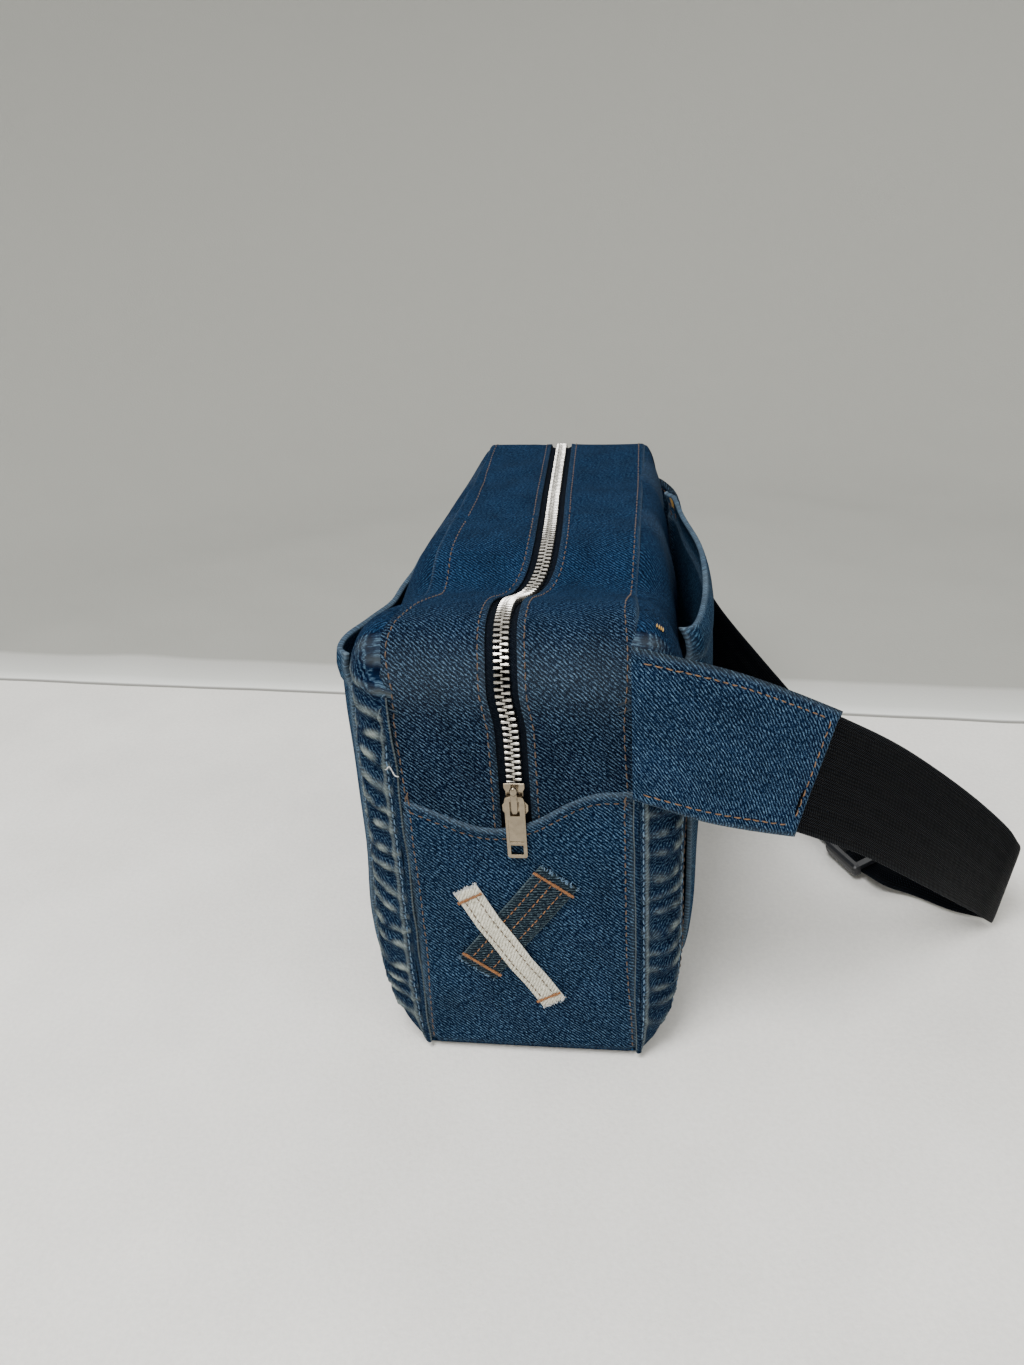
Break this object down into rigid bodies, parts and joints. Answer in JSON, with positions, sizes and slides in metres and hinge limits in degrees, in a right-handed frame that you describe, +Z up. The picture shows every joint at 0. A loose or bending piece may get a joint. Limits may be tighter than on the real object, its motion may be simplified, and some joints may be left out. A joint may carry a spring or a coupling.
{
  "type": "denim waist pack",
  "caption": "Denim waist pack with a metal zip over its top, front and back patch pockets, crossed belt loops on the end, and a webbing waist strap with a side-release buckle.",
  "frame": {"origin": "middle of the flat base the bag stands on", "axes": "+Z up through the bag; +X towards the end where the closed zip's slider sits; +Y towards the side worn against the body, where the waist strap is sewn on"},
  "size_m": [0.3268, 0.3143, 0.205],
  "materials": {
    "denim": "washed indigo twill",
    "denim_faded": "puckered, worn indigo twill",
    "denim_pocket": "lighter indigo twill",
    "denim_charcoal": "charcoal twill",
    "cream_twill": "cream twill",
    "zip_tape": "woven black tape",
    "nickel": "nickel plated, slightly warm",
    "webbing": "black nylon webbing",
    "acetal": "black moulded plastic"
  },
  "bodies": {
    "bag_body": {"front_strip_near": "denim", "front_strip_far": "denim", "back_strip_near": "denim", "back_strip_far": "denim", "near_end_gusset": "denim", "far_end_gusset": "denim", "bottom_panel": "denim", "front_panel": "denim", "back_panel": "denim", "near_wing": "denim", "far_wing": "denim", "front_seam_strip_near": "denim_faded", "front_seam_strip_far": "denim_faded", "back_seam_strip_near": "denim_faded", "back_seam_strip_far": "denim_faded", "front_pocket": "denim_pocket", "back_pocket": "denim_pocket", "dark_belt_loop": "denim_charcoal", "light_belt_loop": "cream_twill", "front_tape_near": "zip_tape", "front_tape_far": "zip_tape", "back_tape_near": "zip_tape", "back_tape_far": "zip_tape", "front_teeth_near": "nickel", "front_teeth_far": "nickel", "back_teeth_near": "nickel", "back_teeth_far": "nickel", "near_webbing": "webbing", "near_webbing_tail": "webbing", "far_webbing": "webbing", "buckle_female": "acetal"},
    "mouth_front": {"front_strip_top": "denim", "front_tape_top": "zip_tape", "front_teeth_top": "nickel"},
    "mouth_back": {"back_strip_top": "denim", "back_tape_top": "zip_tape", "back_teeth_top": "nickel"},
    "zip_slider": {"slider_body": "nickel", "slider_cap": "nickel"},
    "zip_pull": {"pull_tab": "nickel"},
    "buckle_plug": {"buckle_male": "acetal"},
    "plug_arm_front": {"buckle_arm_front": "acetal"},
    "plug_arm_back": {"buckle_arm_back": "acetal"}
  },
  "joints": [
    {"name": "mouth_front_open", "type": "hinge", "parent": "bag_body", "child": "mouth_front", "pos_m": [0, -0.048, 0.2035], "axis": [1, 0, 0], "range_deg": [0, 60]},
    {"name": "mouth_back_open", "type": "hinge", "parent": "bag_body", "child": "mouth_back", "pos_m": [0, 0.048, 0.2035], "axis": [-1, 0, 0], "range_deg": [0, 60]},
    {"name": "zip_slide", "type": "slide", "parent": "bag_body", "child": "zip_slider", "axis": [0, 0, 1], "range_m": [0, 0.03]},
    {"name": "pull_swing", "type": "hinge", "parent": "zip_slider", "child": "zip_pull", "pos_m": [0.161, 0, 0.1405], "axis": [0, -1, 0], "range_deg": [0, 170]},
    {"name": "buckle_release", "type": "slide", "parent": "bag_body", "child": "buckle_plug", "axis": [0.8873, 0.4612, 0], "range_m": [0, 0.03], "deforming": ["near_webbing_tail"]},
    {"name": "arm_front_press", "type": "hinge", "parent": "buckle_plug", "child": "plug_arm_front", "pos_m": [-0.00508, 0.16178, 0.0085], "axis": [-0.092, 0.177, -0.9799], "range_deg": [0, 6], "stiffness_Nm_per_rad": 0.3},
    {"name": "arm_back_press", "type": "hinge", "parent": "buckle_plug", "child": "plug_arm_back", "pos_m": [-0.01998, 0.19048, 0.0151], "axis": [0.092, -0.177, 0.9799], "range_deg": [0, 6], "stiffness_Nm_per_rad": 0.3}
  ]
}
